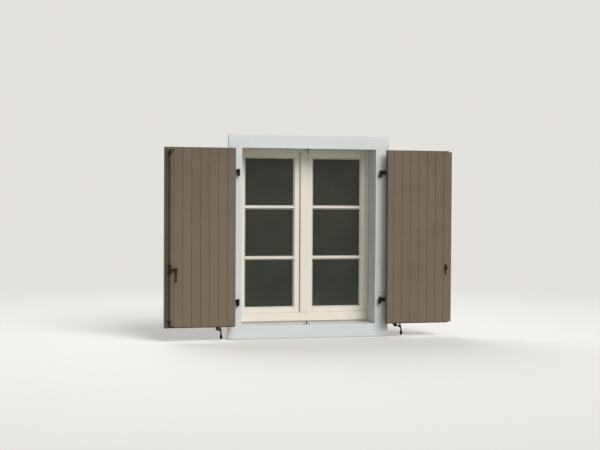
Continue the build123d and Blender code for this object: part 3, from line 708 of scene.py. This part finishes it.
for hand, side in SIDES.items():
    inner = [f"{hand}_board_{number}" for number in range(1, INNER_BOARDS + 1)]
    outer = f"{hand}_outer_boards"
    inner_lot, outer_lot = LOTS[hand]
    first_joint, last_joint = reach(inner[1])[0], reach(inner[-1])[0]
    inner_cover = (last_joint - first_joint) / (INNER_BOARDS - 2)
    stain = shutter_stain(f"stain_inner_{hand}", first_joint, inner_cover, inner_lot)
    dress(stain, *inner)
    hinge_edge, free_edge = reach(outer)
    outer_joint = (hinge_edge + free_edge - OUTER_FULL_BOARDS * OUTER_COVER) / 2
    stain = shutter_stain(f"stain_outer_{hand}", outer_joint, OUTER_COVER, outer_lot)
    dress(stain, outer)
    soften(BOARD_ARRIS, *inner, outer)
    screws(
        f"{hand}_leaf_screws",
        [
            (side * (outer_joint + OUTER_COVER * (number + 0.5)), leaf_back, leaf_low + row)
            for number in range(OUTER_FULL_BOARDS) for row in SCREW_ROWS
        ],
        (0, 1, 0), stain, f"{hand}_leaf", "shutter_paint", **LEAF_SCREW,
    )


# Strap hinges
# Each leaf hangs on two long straps of flat iron, tapered, cranked out to the pin and rolled
# into an eye. Four slotted coach screws hold each strap to the outer skin.

STRAP_THICKNESS = 0.003
STRAP_ARRIS = 0.0006
COACH_SCREWS_ALONG = (0.026, 0.153, 0.280, 0.354)
COACH_SCREW = {"radius": 0.0058, "rise": 0.0022}
strap_face = leaf_back + STRAP_THICKNESS
for hand, side in SIDES.items():
    straps = [f"{hand}_strap_bottom", f"{hand}_strap_top"]
    dress(iron_paint, *straps)
    soften(STRAP_ARRIS, *straps)
    hinge_edge = reach(f"{hand}_outer_boards")[0]
    middles = [sum(corner.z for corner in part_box(strap)) / 2 for strap in straps]
    screws(
        f"{hand}_strap_screws",
        [
            (side * (hinge_edge + along), strap_face, middle)
            for middle in middles for along in COACH_SCREWS_ALONG
        ],
        (0, 1, 0), iron_paint, f"{hand}_leaf", "iron", **COACH_SCREW,
    )


# Espagnolette
# One forged rod on the left leaf, hooked at both ends, with a forked arm that carries the drop
# handle on a rivet. Four guides, each on two small screws, let it turn.

ESPAGNOLETTE_ARRIS = 0.0005
dress(iron_paint, "drop_handle", "rod_guides")
soften(ESPAGNOLETTE_ARRIS, "espagnolette_rod", "drop_handle", "rod_guides")

# The plain lengths of the rod are a lighter brown. Its hooks and boss are black, and
# the brown fades in over these distances from the boss and from the rod's ends.
ROD_BROWN = (0.044, 0.036, 0.027, 1)
ROD_TONE = (0.056, 0.046, 0.034, 1)
BOSS_CLEAR = (0.035, 0.055)
HOOK_CLEAR = (0.055, 0.030)
rod_x, boss_z = pivots["espagnolette_turn"].x, pivots["espagnolette_turn"].z
rod_low, rod_high = (corner.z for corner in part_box("espagnolette_rod"))
half_rod = (rod_high - rod_low) / 2
rod_paint = iron_paint.copy()
rod_paint.name = "rod_paint"
tree = rod_paint.node_tree
height = add(tree, "SeparateXYZ", {0: object_place(tree)}).outputs["Z"]
off_boss = math_of(tree, "ABSOLUTE", math_of(tree, "SUBTRACT", height, boss_z))
off_middle = math_of(tree, "ABSOLUTE", math_of(tree, "SUBTRACT", height, rod_low + half_rod))
brown_to, black_from = (half_rod - gap for gap in HOOK_CLEAR)
plain = math_of(
    tree, "MULTIPLY",
    ranged(tree, off_boss, *BOSS_CLEAR),
    ranged(tree, off_middle, brown_to, black_from, 1.0, 0.0),
)
rod_mottling = tree.nodes[iron_tone].inputs
tree.links.new(mixed(tree, plain, IRON, ROD_BROWN), rod_mottling["Color"])
tree.links.new(mixed(tree, plain, IRON_BROWN, ROD_TONE), rod_mottling["Tone"])
dress(rod_paint, "espagnolette_rod")

# One guide stands near each end of the rod, and one on either side of the boss
HALF_GUIDE = 0.007
BOSS_TO_GUIDE = 0.0243
GUIDE_FOOT = 0.003
GUIDE_SCREW_OUT = 0.0128
GUIDE_SCREW = {"radius": 0.0019, "rise": 0.0008}
leaf_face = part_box("left_board_1")[0].y
guides_low, guides_high = (corner.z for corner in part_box("rod_guides"))
guide_heights = (
    guides_low + HALF_GUIDE, boss_z - BOSS_TO_GUIDE, boss_z + BOSS_TO_GUIDE,
    guides_high - HALF_GUIDE,
)
screws(
    "guide_screws",
    [
        (rod_x + out, leaf_face - GUIDE_FOOT, z)
        for z in guide_heights for out in (-GUIDE_SCREW_OUT, GUIDE_SCREW_OUT)
    ],
    (0, -1, 0), iron_paint, "left_leaf", "iron", **GUIDE_SCREW,
)


# Handle catch
# The raised handle drops into this forged cradle when both leaves are shut. Two screws hold its
# plate to the free board of the right leaf.

CATCH_ARRIS = 0.0005
CATCH_PLATE = 0.003
CATCH_SCREWS_DOWN = (0.0337, 0.0065)
CATCH_SCREW = {"radius": 0.0032, "rise": 0.0012}
dress(iron_paint, "handle_catch")
soften(CATCH_ARRIS, "handle_catch")
catch_low, catch_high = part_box("handle_catch")
catch_x = (catch_low.x + catch_high.x) / 2
screws(
    "catch_screws",
    [(catch_x, leaf_face - CATCH_PLATE, catch_high.z - down) for down in CATCH_SCREWS_DOWN],
    (0, -1, 0), iron_paint, "right_leaf", "iron", **CATCH_SCREW,
)


# Hook keepers
# A pin on a plate in the soffit and another in the sill, for the rod's hooks to close behind.
# Each plate is plugged and screwed at both ends.

KEEPER_ARRIS = 0.0005
KEEPER_PLATE = 0.003
KEEPER_SCREW_OUT = 0.0145
KEEPER_SCREW_BACK = 0.012
KEEPER_SCREW = {"radius": 0.0032, "rise": 0.0010}
dress(iron_paint, "hook_keepers")
soften(KEEPER_ARRIS, "hook_keepers")
keeper_low, keeper_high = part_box("hook_keepers")
keeper_x = (keeper_low.x + keeper_high.x) / 2
screw_y = keeper_low.y + KEEPER_SCREW_BACK
for level, plate_z, outward in (
    ("top", keeper_high.z - KEEPER_PLATE, -1), ("bottom", keeper_low.z + KEEPER_PLATE, 1),
):
    screws(
        f"keeper_screws_{level}",
        [(keeper_x + out, screw_y, plate_z) for out in (-KEEPER_SCREW_OUT, KEEPER_SCREW_OUT)],
        (0, 0, outward), iron_paint, "window_frame", "iron", **KEEPER_SCREW,
    )


# Hold-backs
# A fork on a round shank that is mortared in, with a weighted lever on a rivet. The pear end
# hangs down and keeps the lever's nose up at the open leaf's bottom edge.

HOLDBACK_ARRIS = 0.0007
HALF_FORK = 0.0083
RIVET_HEAD = (
    (0, -0.0005), (0.0052, -0.0005), (0.0052, 0.0004), (0.0046, 0.0012),
    (0.0034, 0.0019), (0.0018, 0.0023), (0, 0.0024),
)
for hand in SIDES:
    dress(iron_paint, f"holdback_bracket_{hand}", f"holdback_lever_{hand}")
    soften(HOLDBACK_ARRIS, f"holdback_bracket_{hand}", f"holdback_lever_{hand}")
    mesh = bmesh.new()
    for outward in (-1, 1):
        known = len(mesh.verts)
        turned(mesh, RIVET_HEAD)
        mesh.verts.ensure_lookup_table()
        cheek = pivots[f"{hand}_holdback_tilt"] + Vector((outward * HALF_FORK, 0, 0))
        turn = Matrix.Translation(cheek) @ upright_on((outward, 0, 0))
        bmesh.ops.transform(mesh, matrix=turn, verts=mesh.verts[known:])
    piece(f"holdback_rivet_{hand}", mesh, iron_paint, "window_frame")


# Floor and light
# The unit stands on its sill on a plain pale floor that fades into the background. A wide soft
# light comes from high in front and a weaker one from behind, with a dim sky all round.

BACKGROUND = (0.78, 0.76, 0.72, 1)
FLOOR_BOUNCE = (0.40, 0.39, 0.36, 1)
FLOOR_REACH = 40.0
FADE_FROM = 1.6
FADE_TO = 5.0
floor_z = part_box("surround_sill")[0].z
mesh = bmesh.new()
bmesh.ops.create_circle(mesh, cap_ends=True, segments=64, radius=FLOOR_REACH)
data = bpy.data.meshes.new("floor")
mesh.to_mesh(data)
mesh.free()
floor = bpy.data.objects.new("floor", data)
floor.location = (0, 0, floor_z)
bpy.context.scene.collection.objects.link(floor)
floor_material, tree, shader = finish("floor", Roughness=0.9)
data.materials.append(floor_material)


def seen_rays(tree):
    """1 for what the camera sees straight, in gloss or through glass, and 0 for bounced light."""
    path = add(tree, "LightPath").outputs
    seen = math_of(tree, "MAXIMUM", path["Is Camera Ray"], path["Is Glossy Ray"])
    return math_of(tree, "MAXIMUM", seen, path["Is Transmission Ray"])


seen = seen_rays(tree)
tree.links.new(mixed(tree, seen, FLOOR_BOUNCE, BACKGROUND), shader["Base Color"])
distance = add(tree, "VectorMath", {0: object_place(tree)}, operation="LENGTH").outputs["Value"]
far = math_of(tree, "MULTIPLY", ranged(tree, distance, FADE_FROM, FADE_TO), seen)
glow = add(tree, "Emission", {"Color": BACKGROUND, "Strength": 1.0})
principled = tree.nodes["Principled BSDF"]
faded = add(tree, "MixShader", {0: far, 1: principled.outputs[0], 2: glow.outputs[0]})
tree.links.new(faded.outputs[0], tree.nodes["Material Output"].inputs["Surface"])

SKY_TINT = (0.95, 0.98, 1.0, 1)
SKY_FILL = 0.38
world = bpy.data.worlds.new("studio")
bpy.context.scene.world = world
world.use_nodes = True
tree = world.node_tree
tree.nodes.clear()
sky = add(tree, "Background", {"Color": SKY_TINT, "Strength": SKY_FILL})
shown = add(tree, "Background", {"Color": BACKGROUND, "Strength": 1.0})
both = add(tree, "MixShader", {0: seen_rays(tree), 1: sky.outputs[0], 2: shown.outputs[0]})
tree.links.new(both.outputs[0], add(tree, "OutputWorld").inputs["Surface"])


def overcast(name, towards, strength, spread):
    """A wide patch of sky that shines in one direction, as strong near as far."""
    data = bpy.data.lights.new(name, "SUN")
    data.energy = strength
    data.angle = math.radians(spread)
    made = bpy.data.objects.new(name, data)
    made.rotation_euler = Vector(towards).to_track_quat("-Z", "Y").to_euler()
    bpy.context.scene.collection.objects.link(made)


overcast("front_sky", towards=(-0.42, 1.0, -0.86), strength=2.60, spread=38)
overcast("back_sky", towards=(0.4, -1.0, -0.8), strength=1.4, spread=60)


# Camera
# The camera stands well back to the left of the window, a little above its middle, and looks at
# it through a long lens.

CAMERA_PLACE = (-2.2227, -8.429, 0.980)
LENS = 71.95
YAW = 0.250581
PITCH = -0.023839
ROLL = 0.005689
camera_data = bpy.data.cameras.new("camera")
camera_data.lens = LENS
camera = bpy.data.objects.new("camera", camera_data)
aim = Matrix.Rotation(-YAW, 4, "Z") @ Matrix.Rotation(math.pi / 2 + PITCH, 4, "X")
aim = aim @ Matrix.Rotation(ROLL, 4, "Z")
camera.matrix_world = Matrix.Translation(CAMERA_PLACE) @ aim
bpy.context.scene.collection.objects.link(camera)
bpy.context.scene.camera = camera
bpy.context.scene.view_settings.view_transform = "Standard"
